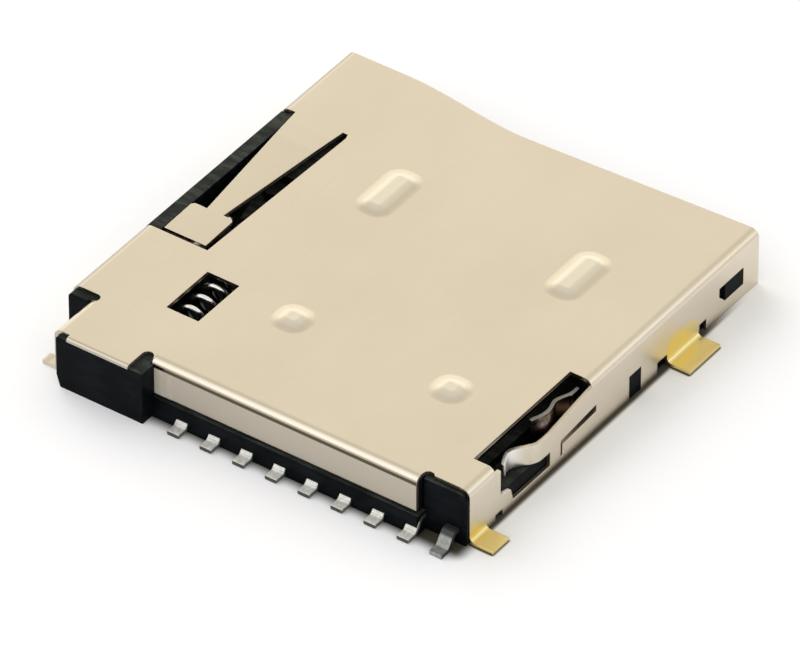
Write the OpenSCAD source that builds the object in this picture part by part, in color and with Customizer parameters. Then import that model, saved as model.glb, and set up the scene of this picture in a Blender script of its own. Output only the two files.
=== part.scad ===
// Memory card connector, push in and push out, for a small memory card of 11 by 15 mm.
// X runs along the row of tails, Y runs from the tails to the card mouth, Z is up from the board.
// The origin is on the board, under the middle of the connector's length and width.

/* [Card] */
// Width of the card
card_w = 11; // [10.9:0.1:11.1]
// How much narrower the card's leading part is, all on its left side
card_step = 1.3; // [1.2:0.05:1.4]
// Length of the card's leading part, up to its shoulder
card_lead = 6.3; // [6.1:0.1:6.5]
// Height of the card space between floor and plate
card_space = 0.8; // [0.78:0.01:0.86]
// Clearance beside each side edge of the card
card_fit = 0.05; // [0.03:0.01:0.08]

/* [Shell] */
// Length of the top plate, from its right front edge to the card mouth
shell_len = 14.05; // [13.9:0.05:15]
// Height of the top plate's upper face above the board
shell_h = 1.87; // [1.85:0.01:2.05]
// Thickness of the folded sheet
sheet = 0.12; // [0.1:0.01:0.15]
// Outer radius of the folds
fold_r = 0.26; // [0.22:0.01:0.32]
// Gap between the board and the lower edges of the walls
wall_lift = 0.02; // [0.02:0.01:0.08]
// Distance from the card's straight edge to the outside of the right wall
side_gap = 0.57; // [0.48:0.01:0.6]
// How far the mouth edge falls back towards its middle
mouth_dip = 0.44; // [0.2:0.02:0.7]
// Straight stretch of the mouth edge at the left corner
mouth_flat = 2.1; // [0.8:0.1:2.5]
// Stretch over which the mouth edge falls back
mouth_run = 4.3; // [3:0.1:6]
// How far the mouth edge comes forward again at the right
mouth_rise = 0.34; // [0:0.02:0.4]

/* [Nose and flange] */
// How far the front part of the nose block reaches across the flange's left end
nose_flank = 0.12; // [0.04:0.02:0.16]
// How far the nose stands ahead of the right front edge
nose_len = 1.03; // [0.95:0.01:1.2]
// Width of the nose
nose_w = 2.62; // [2.6:0.02:2.9]
// Distance from the left wall's outer face to the nose
nose_in = 0.75; // [0.67:0.01:0.83]
// Length of the notch at the nose's left corner
nose_notch_l = 0.2; // [0.14:0.02:0.26]
// Width of that notch
nose_notch_w = 0.54; // [0.4:0.02:0.8]
// Distance of the nose's foot behind the nose's front edge
nose_foot_in = 0.6; // [0.4:0.02:0.7]
// How far the front flange stands ahead of the right front edge
flange_out = 0.4; // [0.36:0.01:0.46]
// Height of the front flange
flange_h = 1.14; // [0.9:0.02:1.2]
// Width of the relief notches beside the flange
relief_w = 0.36; // [0.3:0.02:0.44]
// Width of the plate's corner to the right of the flange
corner_w = 1.5; // [1.3:0.02:1.6]
// Width of the slot that parts the nose from the left wall
edge_slot_w = 0.32; // [0.24:0.02:0.4]
// Reach of that slot from the left wall's outer face
edge_slot_l = 1.02; // [0.8:0.02:1.1]
// Distance of that slot behind the right front edge
edge_slot_d = 0.72; // [0.6:0.02:0.8]

/* [Bosses] */
// Height of the four embossed bosses
boss_h = 0.1; // [0.05:0.01:0.12]
// Width of a boss's rounded slope, as a part of the boss's width
boss_soft = 0.36; // [0.2:0.02:0.4]
// Width of a boss at its foot
boss_w = 1.2; // [1:0.05:1.4]
// Length of the two rear bosses
boss_l = 2.3; // [1.8:0.1:2.5]
// Distance of the left bosses from the left wall
boss_x = 4.76; // [4.56:0.05:5.01]
// How far the front left boss stands further right than the rear left one
boss_shift = 1.1; // [1:0.05:1.3]
// Distance between the left and the right bosses
boss_dx = 6.4; // [6:0.1:6.6]
// Distance of the front bosses from the right front edge
boss_y = 3.28; // [3:0.05:3.5]
// Distance between the front and the rear bosses
boss_dy = 6.08; // [5.8:0.05:6.3]

/* [Leaf over the follower] */
// Distance of the leaf's slot from the right front edge
leaf_y = 4.35; // [4.2:0.05:4.5]
// Length of the leaf's slot
leaf_l = 6.5; // [6.3:0.1:6.7]
// Width of the slot round the leaf's head
leaf_gap = 0.17; // [0.12:0.01:0.24]
// Width of the leaf's head
leaf_head_w = 1.42; // [1.3:0.02:1.5]
// Length of the leaf's head
leaf_head_l = 1.34; // [1:0.02:1.4]
// Width of the leaf's neck
leaf_neck_w = 0.56; // [0.5:0.02:0.8]
// Width of the leaf at its root
leaf_root_w = 1.64; // [1.4:0.02:1.7]
// How far the leaf's head is pressed down
leaf_dip = 0.14; // [0.1:0.01:0.16]

/* [Windows and notches] */
// Width of the window over the spring
window_w = 1.09; // [0.9:0.02:1.2]
// Length of the window over the spring
window_l = 1.92; // [1.6:0.02:2.2]
// Distance of that window behind the right front edge
window_y = 1.67; // [1.4:0.01:1.7]
// Width of the relief notches beside the feet
notch_w = 0.34; // [0.26:0.02:0.4]
// Height of the notches beside the rear feet above the wall's lower edge
notch_h = 0.38; // [0.3:0.02:0.44]
// Height of the notch beside the front right foot above the wall's lower edge
front_notch_h = 0.2; // [0.16:0.02:0.3]
// Width of the lug notch in each side wall
lug_w = 0.58; // [0.5:0.02:0.7]
// Height of the lug notch above the wall's lower edge
lug_h = 0.8; // [0.6:0.02:0.84]
// Distance from the lug notch to the card mouth
lug_y = 6.45; // [6:0.05:6.9]
// Length of the latch window in each side wall
latch_l = 1.2; // [0.9:0.05:1.3]
// Height of the latch window
latch_h = 0.6; // [0.45:0.05:0.7]
// Height of the latch window's lower edge above the wall's lower edge
latch_low_h = 0.42; // [0.3:0.02:0.44]
// Distance from the latch window to the card mouth
latch_y = 2.05; // [1.7:0.05:2.2]

/* [Solder feet] */
// Reach of the feet beyond their walls
foot_reach = 0.76; // [0.6:0.02:0.95]
// Length of the rear feet along the wall
foot_len = 1.5; // [1.2:0.05:1.7]
// Length of the front right foot along the wall
front_foot_len = 0.76; // [0.6:0.02:0.9]
// Distance from the rear feet to the card mouth
foot_y = 4.6; // [4.3:0.02:4.7]
// Inner radius of the bend between wall and foot
foot_bend = 0.16; // [0.08:0.01:0.2]

/* [Clamp finger] */
// Distance of the opening round the finger behind the right front edge
gap_y = 1.2; // [1.15:0.05:1.4]
// Length of the opening round the finger
gap_l = 4.59; // [4.4:0.05:4.8]
// Reach of the opening into the plate
gap_w = 0.73; // [0.66:0.01:0.8]
// Length of the finger from its root to its bend
finger_l = 2.61; // [2.4:0.05:2.8]
// Length of the stretch in which the finger curves inwards
finger_curve = 0.9; // [0.8:0.02:1]
// Length of the finger's tip, which curves back outwards
finger_tip = 0.4; // [0.3:0.02:0.45]
// How far the finger reaches inwards
finger_in = 0.46; // [0.4:0.01:0.5]
// Height of the finger's lower edge above the wall's lower edge
finger_low_h = 0.68; // [0.58:0.01:0.7]
// Width of the finger at its bend
finger_w = 0.63; // [0.5:0.01:0.7]

/* [Contacts] */
// Number of signal contacts
contact_n = 8; // [6:1:8]
// Distance between neighbouring contacts
pitch = 1.1; // [1.05:0.01:1.1]
// Distance from the card's straight edge to the middle of the nearest contact
pad_edge = 1; // [0.95:0.01:1.05]
// Width of a contact strip
contact_w = 0.4; // [0.3:0.02:0.46]
// Thickness of a contact strip
contact_t = 0.14; // [0.1:0.01:0.15]
// Height of the moulded-in stretch of a contact above the board
contact_z = 0.4; // [0.36:0.01:0.44]
// How far the tails reach ahead of the right front edge
tail_out = 0.95; // [0.85:0.01:1]
// Length of the moulded-in stretch behind the front wall
contact_root = 0.95; // [0.8:0.05:1.1]
// Distance from the front wall's inner face to the highest point of a contact
contact_reach = 3.5; // [3.3:0.05:3.8]
// How far a free contact stands above the card floor
contact_rise = 0.34; // [0.2:0.02:0.4]
// Length of a contact's rounded tip behind its highest point
contact_tip = 0.75; // [0.6:0.05:0.9]
// Gap between a contact and its window in the floor
contact_gap = 0.13; // [0.1:0.01:0.18]

/* [Detect contact] */
// Thickness of the detect contact's upright leaf
detect_t = 0.1; // [0.08:0.01:0.12]
// Length of the upright leaf
detect_l = 1.9; // [1.8:0.05:2.2]
// Height of the upright leaf
detect_h = 0.6; // [0.5:0.02:0.64]
// Length of the riser that carries the leaf
detect_riser = 0.4; // [0.3:0.02:0.5]
// Height of the strip that runs back under the finger
detect_strip = 0.14; // [0.12:0.01:0.16]
// How far the leaf stands in the way of the card's edge
detect_in = 0.1; // [0:0.01:0.1]

/* [Slider] */
// Travel from the free position to the locked position
lock_travel = 1.5; // [1.3:0.05:1.6]
// Travel past the locked position to the full stop
over_travel = 0.4; // [0.3:0.02:0.44]
// Width of the slider's body
slider_w = 1.95; // [1.9:0.01:2]
// Height of the slider's underside above the board
slider_z = 0.3; // [0.26:0.01:0.34]
// Distance from the slider's rear end to the card mouth
slider_y = 2.05; // [1.9:0.05:2.3]
// Length of the slider ahead of the follower's pin
slider_nose = 0.75; // [0.6:0.05:0.9]
// Length of the arm that the card pushes
arm_l = 0.9; // [0.8:0.05:1]
// Width of the cam track
track_w = 0.36; // [0.32:0.01:0.38]
// Sideways reach of the cam track's lanes from its middle
track_side = 0.48; // [0.4:0.01:0.5]
// Depth of the cam track
track_depth = 0.34; // [0.3:0.01:0.36]
// Thickness of the housing's rail at the left of the slider
rail_w = 0.3; // [0.2:0.01:0.3]

/* [Follower and spring] */
// Diameter of the follower wire
rod_d = 0.28; // [0.2:0.01:0.3]
// Distance between the follower's two pins
rod_l = 5.1; // [4.9:0.05:5.2]
// Distance of the pivot pin behind the right front edge
pivot_y_in = 1.2; // [1.1:0.05:1.3]
// Radius of the follower's bends at its middle line
rod_bend = 0.2; // [0.16:0.01:0.24]
// Reach of the follower's pin into the cam track
pin_reach = 0.25; // [0.2:0.01:0.28]
// Length of the pivot pin below the bend
pivot_pin = 0.4; // [0.3:0.02:0.5]
// Outer diameter of the ejection spring
spring_od = 0.92; // [0.84:0.01:0.96]
// Diameter of the spring wire
spring_wire = 0.16; // [0.12:0.01:0.18]
// Distance between the spring's coils
spring_pitch = 0.56; // [0.48:0.01:0.6]
// Height of the spring's middle above the board
spring_z = 1.16; // [1.06:0.01:1.18]
// How far round its axis the spring is turned, in turns
spring_turn = 0.33; // [0:0.01:1]
// Length of the pegs inside the spring's ends
peg_l = 0.6; // [0.4:0.05:0.7]

/* [Housing] */
// Distance from the right front edge to the front wall's inner face
wall_in = 0.5; // [0.45:0.01:0.6]
// How far the lower lip stands ahead of the flange
lip_out = 0.14; // [0.08:0.01:0.2]
// Gap between the lip's upper face and the flange's lower edge
lip_gap = 0.08; // [0.04:0.01:0.14]
// How far the corner blocks stand ahead of the shell's edges
cover_out = 0.12; // [0.08:0.01:0.16]
// Free room between the card pushed home and the front wall
home_gap = 0.1; // [0.08:0.01:0.14]
// Thickness of the wall ahead of the spring
spring_wall = 0.3; // [0.25:0.01:0.4]

/* [Fits] */
// Clearance of pieces that are held fast in the housing
hold_fit = 0.01; // [0.01:0.005:0.02]
// Clearance between the shell and the housing
lid_fit = 0.02; // [0.01:0.005:0.04]
// Running clearance of the slider
run_fit = 0.07; // [0.05:0.01:0.08]
// Running clearance of the follower wire in its pivot hole
pivot_fit = 0.02; // [0.015:0.005:0.04]
// Gap between the follower wire and the slider under it
rod_fit = 0.09; // [0.06:0.01:0.1]
// Gap between the spring and its bay
spring_fit = 0.08; // [0.06:0.01:0.1]

/* [Hidden] */

// How far cuts reach past a face
past = 0.2;
// Steps in a quarter turn of a fold
fold_steps = 8;

// The shell's width follows from what lies side by side in it
shell_w = sheet + lid_fit + rail_w + 2 * run_fit + slider_w + card_w + side_gap;
right_x = shell_w / 2;
left_x = -right_x;
front_y = -(shell_len - nose_len) / 2;
mouth_y = front_y + shell_len;
nose_y = front_y - nose_len;
flange_y = front_y - flange_out;
plate_z = shell_h - sheet;
flange_z = shell_h - flange_h;
floor_z = plate_z - card_space;
base_z = wall_lift - lid_fit;
lid_z = plate_z - lid_fit;
inner_x = right_x - sheet - lid_fit;

// The card's two side edges and the left edge of its leading part
card_x = right_x - side_gap;
card_left = card_x - card_w;
lead_left = card_left + card_step;

// Front wall, and where the card's leading edge and shoulder lie before it is pushed in
wall_front = flange_y + sheet + lid_fit;
wall_back = front_y + wall_in;
total_travel = lock_travel + over_travel;
shoulder_y = wall_back + home_gap + total_travel + card_lead;

// Nose, its tab and the slot beside it
nose_left = left_x + nose_in;
nose_right = nose_left + nose_w;
nose_front = nose_y + cover_out / 2;
nose_block_left = nose_left + sheet + lid_fit;
nose_block_right = nose_right + relief_w - lid_fit;
flange_left = nose_right + relief_w;
flange_right = right_x - corner_w;
edge_slot_y0 = front_y + edge_slot_d;
edge_slot_y1 = edge_slot_y0 + edge_slot_w;
edge_slot_x = left_x + edge_slot_l;
tab_y0 = nose_y + nose_notch_l;
tab_y1 = edge_slot_y0;

// Leaf over the cam follower, centred on the slider's cam
slider_right = card_left - run_fit;
slider_left = slider_right - slider_w;
slider_mid = (slider_left + slider_right) / 2;
leaf_mid = slider_mid - 2.6 * sheet;
leaf_root_mid = leaf_mid + sheet;
leaf_y0 = front_y + leaf_y;
leaf_y1 = leaf_y0 + leaf_l;
leaf_head_y0 = leaf_y0 + 1.7 * leaf_gap;
leaf_head_y1 = leaf_head_y0 + leaf_head_l;
leaf_bend_y = leaf_y1 - leaf_head_l / 2;

// Window over the spring
spring_r = spring_od / 2;
spring_x = slider_right + run_fit + spring_r;
window_x1 = lead_left - lid_fit;
window_x0 = window_x1 - window_w;
window_y0 = front_y + window_y;

// Opening in the right side, with the clamp finger
gap_x = right_x - gap_w;
gap_y0 = front_y + gap_y;
gap_y1 = gap_y0 + gap_l;
finger_root_y = gap_y1 + finger_l / 12;
finger_bend_y = finger_root_y - finger_l;
finger_in_y = finger_bend_y - finger_curve;
finger_tip_y = finger_in_y - finger_tip;
finger_low = wall_lift + finger_low_h;
finger_top = finger_low + finger_w;
finger_root_low = finger_low + finger_w / 3;
finger_root_top = plate_z - sheet;

// Places along the side walls
front_foot_y0 = front_y;
rear_foot_y0 = mouth_y - foot_y;
lug_y0 = mouth_y - lug_y;
latch_y0 = mouth_y - latch_y;
latch_z0 = wall_lift + latch_low_h;

// Follower, slider and spring
rod_r = rod_d / 2;
rod_z = plate_z - leaf_dip - rod_r - hold_fit;
cam_top = rod_z - rod_r - rod_fit;
pivot_x = slider_mid;
pivot_y = front_y + pivot_y_in;
pin_y = pivot_y + rod_l;
slider_front = pin_y - slider_nose;
slider_step = pin_y + total_travel + rod_d + track_w / 2;
slider_rear = mouth_y - slider_y;
slider_top = plate_z - leaf_dip - run_fit;
channel_front = slider_front - total_travel - 2 * run_fit;
channel_rear = slider_rear + lid_fit;
rail_x = slider_left - run_fit;
spring_seat = wall_back + spring_wall;
arm_front = shoulder_y - arm_l;
arm_right = lead_left - 2 * card_fit;
spring_bed = spring_z - spring_r - spring_fit / 2;
spring_len = arm_front - spring_seat - lid_fit;
peg_d = spring_od - 2 * spring_wire - 2 * spring_fit;

// Detect contact, on the line of the ninth tail
function contact_x(i) = card_x - pad_edge - (contact_n - 1 - i) * pitch;
detect_x = contact_x(contact_n);
detect_leaf_x = card_x - detect_in;
detect_y1 = gap_y1;
detect_y0 = detect_y1 - detect_l;
detect_top = floor_z + detect_h - sheet;
strip_z = contact_z + detect_strip;
pocket_x0 = detect_leaf_x - detect_t - 2 * run_fit;
pocket_x1 = detect_x + detect_t + run_fit;
pocket_y0 = detect_y0 - detect_riser;

// Points of an arc
function arc(cx, cy, r, a0, a1, n) =
    [for (i = [0:n]) [cx + r * cos(a0 + (a1 - a0) * i / n), cy + r * sin(a0 + (a1 - a0) * i / n)]];

// A rise from 0 to 1 with level ends
function ease(t) = let (u = min(1, max(0, t))) u * u * (3 - 2 * u);

// A list in the opposite order
function flip(list) = [for (i = [len(list) - 1:-1:0]) list[i]];

// Outline of a strip of thickness t that follows a middle line
function strip(path, t) =
    let (
        n = len(path),
        side = [
            for (i = [0:n - 1])
                let (d = path[min(n - 1, i + 1)] - path[max(0, i - 1)])
                    [-d[1], d[0]] / norm(d) * t / 2
        ]
    )
    concat([for (i = [0:n - 1]) path[i] + side[i]], flip([for (i = [0:n - 1]) path[i] - side[i]]));

// A rectangle with round corners, centred
function rounded(w, l, r) = concat(
    arc(w / 2 - r, l / 2 - r, r, 0, 90, 6), arc(r - w / 2, l / 2 - r, r, 90, 180, 6),
    arc(r - w / 2, r - l / 2, r, 180, 270, 6), arc(w / 2 - r, r - l / 2, r, 270, 360, 6)
);

// The plate's edge at the mouth
function mouth_at(x) =
    let (t = x - left_x - mouth_flat, rest = shell_w - mouth_flat - mouth_run)
    mouth_y - mouth_dip * ease(t / mouth_run) + mouth_rise * max(0, (t - mouth_run) / rest);

// A box between two corners
module block(a, b) {
    translate(a) cube(b - a);
}

// An XY outline raised between two heights
module slab(points, z0, z1) {
    translate([0, 0, z0]) linear_extrude(z1 - z0) polygon(points);
}

// A YZ outline carried along X
module across(points, x0, x1) {
    translate([x0, 0, 0]) rotate([90, 0, 90]) linear_extrude(x1 - x0) polygon(points);
}

// An XZ outline carried along Y
module along(points, y0, y1) {
    translate([0, y1, 0]) rotate([90, 0, 0]) linear_extrude(y1 - y0) polygon(points);
}

// Section of the sheet: a level stretch that folds down into a wall at x_out
function fold_down(x_in, x_out, z_low) = concat(
    [[x_in, shell_h]],
    arc(x_out - fold_r, shell_h - fold_r, fold_r, 90, 0, fold_steps),
    [[x_out, z_low], [x_out - sheet, z_low]],
    arc(x_out - fold_r, shell_h - fold_r, fold_r - sheet, 0, 90, fold_steps),
    [[x_in, plate_z]]
);

// Section of a wall's lower end that turns outwards into a foot on the board
foot_r = sheet + foot_bend;
function foot(x_wall) = concat(
    [[x_wall - sheet, foot_r + notch_h]],
    arc(x_wall + foot_bend, foot_r, foot_r, 180, 270, fold_steps),
    [[x_wall + foot_reach, 0], [x_wall + foot_reach, sheet]],
    arc(x_wall + foot_bend, foot_r, foot_bend, 270, 180, fold_steps),
    [[x_wall, foot_r + notch_h]]
);

// Outline of the top plate, from the left wall round the nose to the mouth
relief_r = relief_w / 2;
slot_r = edge_slot_w / 2;
plate_outline = concat(
    [[left_x - past, edge_slot_y1]],
    arc(edge_slot_x - slot_r, edge_slot_y0 + slot_r, slot_r, 90, -90, 8),
    [
        [nose_left + fold_r, edge_slot_y0], [nose_left + fold_r, tab_y0], [nose_left + nose_notch_w, tab_y0],
        [nose_left + nose_notch_w, nose_y], [nose_right, nose_y]
    ],
    arc(nose_right + relief_r, flange_y + fold_r - relief_r, relief_r, 180, 0, 8),
    [[flange_left, flange_y + fold_r + lid_fit], [flange_right, flange_y + fold_r + lid_fit]],
    arc(flange_right + relief_r, front_y - relief_r / 2, relief_r, 180, 30, 8),
    [[right_x + past, front_y]],
    [
        for (i = [40:-1:0])
            let (x = left_x + shell_w * i / 40)
                [x + (i == 40 ? past : i == 0 ? -past : 0), mouth_at(x)]
    ]
);

// Section of the front flange
flange_section = concat(
    [[wall_back, shell_h]],
    arc(flange_y + fold_r, shell_h - fold_r, fold_r, 90, 180, fold_steps),
    [[flange_y, flange_z], [flange_y + sheet, flange_z]],
    arc(flange_y + fold_r, shell_h - fold_r, fold_r - sheet, 180, 90, fold_steps),
    [[wall_back, plate_z]]
);

leaf_slot = [
    [left_x - past, leaf_y0], [leaf_mid + leaf_head_w / 2 + 1.6 * leaf_gap, leaf_y0],
    [leaf_root_mid + leaf_root_w / 2 + 1.3 * leaf_gap, leaf_y1 - leaf_gap],
    [leaf_root_mid + leaf_root_w / 2 + leaf_gap, leaf_y1], [left_x - past, leaf_y1]
];

leaf_corner = leaf_gap / 2;
leaf_outline = [
    [leaf_mid - leaf_head_w / 2, leaf_head_y0], [leaf_mid + leaf_head_w / 2, leaf_head_y0],
    [leaf_mid + leaf_head_w / 2, leaf_head_y1 - leaf_corner],
    [leaf_mid + leaf_head_w / 2 - leaf_corner, leaf_head_y1],
    [leaf_mid + sheet / 2 + leaf_neck_w / 2, leaf_head_y1],
    [leaf_root_mid + leaf_root_w / 2, leaf_y1], [leaf_root_mid + leaf_root_w / 2, leaf_y1 + past],
    [leaf_root_mid - leaf_root_w / 2, leaf_y1 + past], [leaf_root_mid - leaf_root_w / 2, leaf_y1],
    [leaf_mid + sheet / 2 - leaf_neck_w / 2, leaf_head_y1],
    [leaf_mid - leaf_head_w / 2 + leaf_corner, leaf_head_y1],
    [leaf_mid - leaf_head_w / 2, leaf_head_y1 - leaf_corner]
];

// Middle line of the leaf seen from the side: level at its root, then sloping down to its head
leaf_line = [
    for (i = [0:10])
        let (
            y = leaf_y1 + past + (leaf_head_y0 - past - leaf_y1 - past) * i / 10,
            t = max(0, leaf_bend_y - y) / (leaf_bend_y - leaf_head_y0)
        )
            [y, shell_h - sheet / 2 - leaf_dip * t * (t < 0.12 ? t / 0.12 : 1)]
];

// Middle line of the finger seen from above: along the wall, curved inwards, tip turned out
finger_line = concat(
    [[right_x - sheet / 2, finger_root_y + past], [right_x - sheet / 2, finger_bend_y + sheet]],
    [
        for (i = [1:10]) let (t = i / 10)
            [right_x - sheet / 2 - finger_in * ease(t), finger_bend_y - finger_curve * t]
    ],
    [
        for (i = [1:6]) let (t = i / 6)
            [right_x - sheet / 2 - finger_in * (1 - 0.3 * t * t), finger_in_y - finger_tip * t]
    ]
);

// The finger seen from the side
taper_y = finger_bend_y + finger_curve + sheet;
finger_side = [
    [finger_tip_y, finger_low + sheet],
    [finger_in_y, finger_low + sheet / 4],
    [finger_in_y + finger_tip, finger_low],
    [finger_bend_y + finger_tip, finger_low], [taper_y, finger_low + sheet / 2],
    [finger_root_y, finger_root_low], [finger_root_y + past, finger_root_low],
    [finger_root_y + past, finger_root_top], [gap_y1, finger_root_top],
    [finger_bend_y + finger_tip, finger_top], [finger_in_y, finger_top], [finger_tip_y, finger_top - sheet]
];

// The opening in the right wall under and round the finger, seen from the side
gap_low = wall_lift + 5 / 3 * sheet;
wall_gap = [
    [gap_y0 + gap_w / 3, shell_h + past], [gap_y0 + gap_w / 3, finger_low + sheet],
    [gap_y0 + gap_w / 2, finger_low + sheet / 3], [gap_y0 + gap_w, finger_low - sheet / 2],
    [gap_y0 + gap_w + sheet, gap_low], [finger_bend_y + finger_tip, gap_low],
    [finger_bend_y + finger_tip, finger_low + sheet / 2], [taper_y - sheet, finger_low + sheet / 2],
    [taper_y, finger_low - sheet], [finger_root_y, finger_root_low - 2 * sheet],
    [finger_root_y, finger_root_top - sheet], [gap_y1, finger_root_top - sheet], [gap_y1, shell_h + past]
];

// A boss pressed up out of the plate: rings that draw in along a rounded slope, and a flat top
boss_steps = 5;
module mound(x, y, w, l, z) {
    rings = concat(
        [for (p = rounded(w, l, 0.42 * w)) [p[0], p[1], -past]],
        [
            for (i = [0:boss_steps])
                let (inset = boss_soft * w * i / boss_steps)
                    for (p = rounded(w - 2 * inset, l - 2 * inset, 0.42 * w - inset))
                        [p[0], p[1], boss_h * ease(i / boss_steps)]
        ]
    );
    n = len(rings) / (boss_steps + 2);
    faces = concat(
        [[for (k = [0:n - 1]) k]],
        [
            for (i = [0:boss_steps]) for (k = [0:n - 1])
                let (a = i * n + k, b = i * n + (k + 1) % n)
                    [a, a + n, b + n, b]
        ],
        [[for (k = [n - 1:-1:0]) (boss_steps + 1) * n + k]]
    );
    translate([x, y, z]) polyhedron(rings, faces);
}

module bosses(shrink, z) {
    for (i = [0, 1])
        for (j = [0, 1])
            mound(
                left_x + boss_x + boss_dx * i + (1 - j) * (1 - i) * boss_shift, front_y + boss_y + boss_dy * j,
                boss_w - shrink, (j == 1 ? boss_l : boss_w) - shrink, z
            );
}

// Notches, lug notches and latch windows of one side wall
module side_cuts() {
    x0 = right_x - fold_r;
    x1 = right_x + past;
    front_notch = front_foot_y0 + front_foot_len + 1.3 * notch_w;
    rear_notch = rear_foot_y0 + foot_len + notch_w / 4;
    block([x0, front_notch, -past], [x1, front_notch + notch_w, wall_lift + front_notch_h]);
    block([x0, rear_foot_y0 - 1.4 * notch_w, -past], [x1, rear_foot_y0, wall_lift + notch_h]);
    block([x0, rear_notch, -past], [x1, rear_notch + notch_w, wall_lift + notch_h]);
    block([x0, rear_foot_y0, -past], [x1, rear_foot_y0 + foot_len, foot_r]);
    block([x0, lug_y0, -past], [x1, lug_y0 + lug_w, wall_lift + lug_h]);
    across(
        [
            [latch_y0 + latch_h / 2, latch_z0], [latch_y0 + latch_l, latch_z0],
            [latch_y0 + latch_l, latch_z0 + latch_h], [latch_y0, latch_z0 + latch_h],
            [latch_y0, latch_z0 + latch_h / 2]
        ],
        x0, x1
    );
}

// Tab folded down from the left edge of the nose, with its own foot
module nose_tab() {
    mirror([1, 0, 0]) {
        along(fold_down(-nose_left - fold_r - past, -nose_left, foot_r + notch_h / 2), tab_y0, tab_y1);
        along(foot(-nose_left), nose_y + nose_foot_in, nose_y + nose_foot_in + front_foot_len / 2);
    }
}

// Rounding of the nose's front edge, as a cut
module nose_edge() {
    round_y = nose_y + sheet;
    across(
        concat(
            arc(round_y, shell_h - sheet, sheet, 180, 90, 6),
            [[round_y, shell_h + past], [nose_y - past, shell_h + past], [nose_y - past, shell_h - sheet]]
        ),
        nose_left, nose_right + hold_fit
    );
}

module shell() {
    color([0.87, 0.82, 0.71]) {
        difference() {
            union() {
                intersection() {
                    union() {
                        along(fold_down(-past, right_x, wall_lift), nose_y - past, mouth_y + past);
                        mirror([1, 0, 0])
                            along(fold_down(-past, right_x, wall_lift), nose_y - past, mouth_y + past);
                    }
                    slab(plate_outline, -past, shell_h + past);
                }
                across(flange_section, flange_left, flange_right);
                nose_tab();
                bosses(0, shell_h);
            }
            bosses(sheet, plate_z);
            side_cuts();
            mirror([1, 0, 0]) side_cuts();
            block([window_x0, window_y0, plate_z - past], [window_x1, window_y0 + window_l, shell_h + past]);
            slab(leaf_slot, floor_z, shell_h + past);
            block([gap_x, gap_y0, plate_z - past], [right_x - fold_r + hold_fit, gap_y1, shell_h + past]);
            block([gap_x, gap_y0, finger_root_top], [right_x + past, gap_y1, shell_h + past]);
            across(wall_gap, right_x - fold_r, right_x + past);
            block(
                [right_x - fold_r, taper_y - sheet, gap_low], [right_x + past, taper_y - sheet / 3, finger_low]
            );
            nose_edge();
            block([right_x - fold_r, front_y, -past], [right_x + past, front_foot_y0 + front_foot_len, foot_r]);
        }
        for (s = [0, 1])
            mirror([s, 0, 0]) along(foot(right_x), rear_foot_y0, rear_foot_y0 + foot_len);
        along(foot(right_x), front_foot_y0, front_foot_y0 + front_foot_len);
        intersection() {
            slab(leaf_outline, floor_z, shell_h + past);
            across(strip(leaf_line, sheet), left_x, right_x);
        }
        intersection() {
            slab(strip(finger_line, sheet), 0, shell_h);
            across(finger_side, 0, right_x + past);
        }
    }
}

// Section of the housing between its two side faces, with eased upper edges
function body_section(x0, x1) = concat(
    [[x0, base_z], [x1, base_z]],
    arc(x1 - fold_r + sheet, lid_z - fold_r + sheet, fold_r - sheet, 0, 90, fold_steps),
    arc(x0 + fold_r - sheet, lid_z - fold_r + sheet, fold_r - sheet, 90, 180, fold_steps)
);

module housing_body() {
    cover_x = right_x - lid_fit;
    back_y = mouth_y - mouth_dip - lid_fit;
    along(body_section(-inner_x, inner_x), edge_slot_y1 - past, back_y);
    along(body_section(nose_block_left, inner_x), front_y - lid_fit, edge_slot_y1);
    // Front wall behind the flange, and the lip below it
    across(
        [
            [wall_front, base_z], [wall_back, base_z], [wall_back, lid_z],
            [wall_front + sheet, lid_z], [wall_front, lid_z - sheet]
        ],
        nose_block_left, flange_right
    );
    across(
        [
            [flange_y - lip_out, base_z], [wall_back, base_z], [wall_back, flange_z - lip_gap],
            [flange_y - lip_out + sheet / 2, flange_z - lip_gap],
            [flange_y - lip_out, flange_z - lip_gap - sheet / 2]
        ],
        nose_left + nose_w / 2, flange_right + relief_w / 3
    );
    // Right corner block, standing ahead of the wall's front edge
    along(
        concat(
            [
                [flange_right + relief_w / 6, base_z],
                [cover_x - sheet / 2, base_z],
                [cover_x, base_z + sheet / 2]
            ],
            arc(cover_x - fold_r, lid_z - fold_r, fold_r, 0, 90, fold_steps),
            [[flange_right + relief_w / 6, lid_z]]
        ),
        front_y - cover_out, front_y - lid_fit
    );
    // Left step, ahead of the left wall's front edge
    along(body_section(-cover_x, nose_left), edge_slot_y1 - lid_fit - 2 * cover_out, edge_slot_y1 - lid_fit);
    block(
        [-inner_x, edge_slot_y1 - lid_fit - 2 * cover_out, base_z],
        [nose_left, edge_slot_y1 + past, lid_z - fold_r]
    );
    // Nose block, chamfered at its left edges
    along(
        [
            [nose_block_left, base_z + 1.5 * fold_r], [nose_block_left + sheet, base_z],
            [nose_block_right, base_z], [nose_block_right, lid_z],
            [nose_block_left + sheet / 2, lid_z], [nose_block_left, lid_z - sheet / 2]
        ],
        nose_front, wall_back
    );
    block(
        [nose_block_right - past, nose_front, base_z],
        [nose_block_right + nose_flank, flange_y - lid_fit, lid_z]
    );
}

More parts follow.
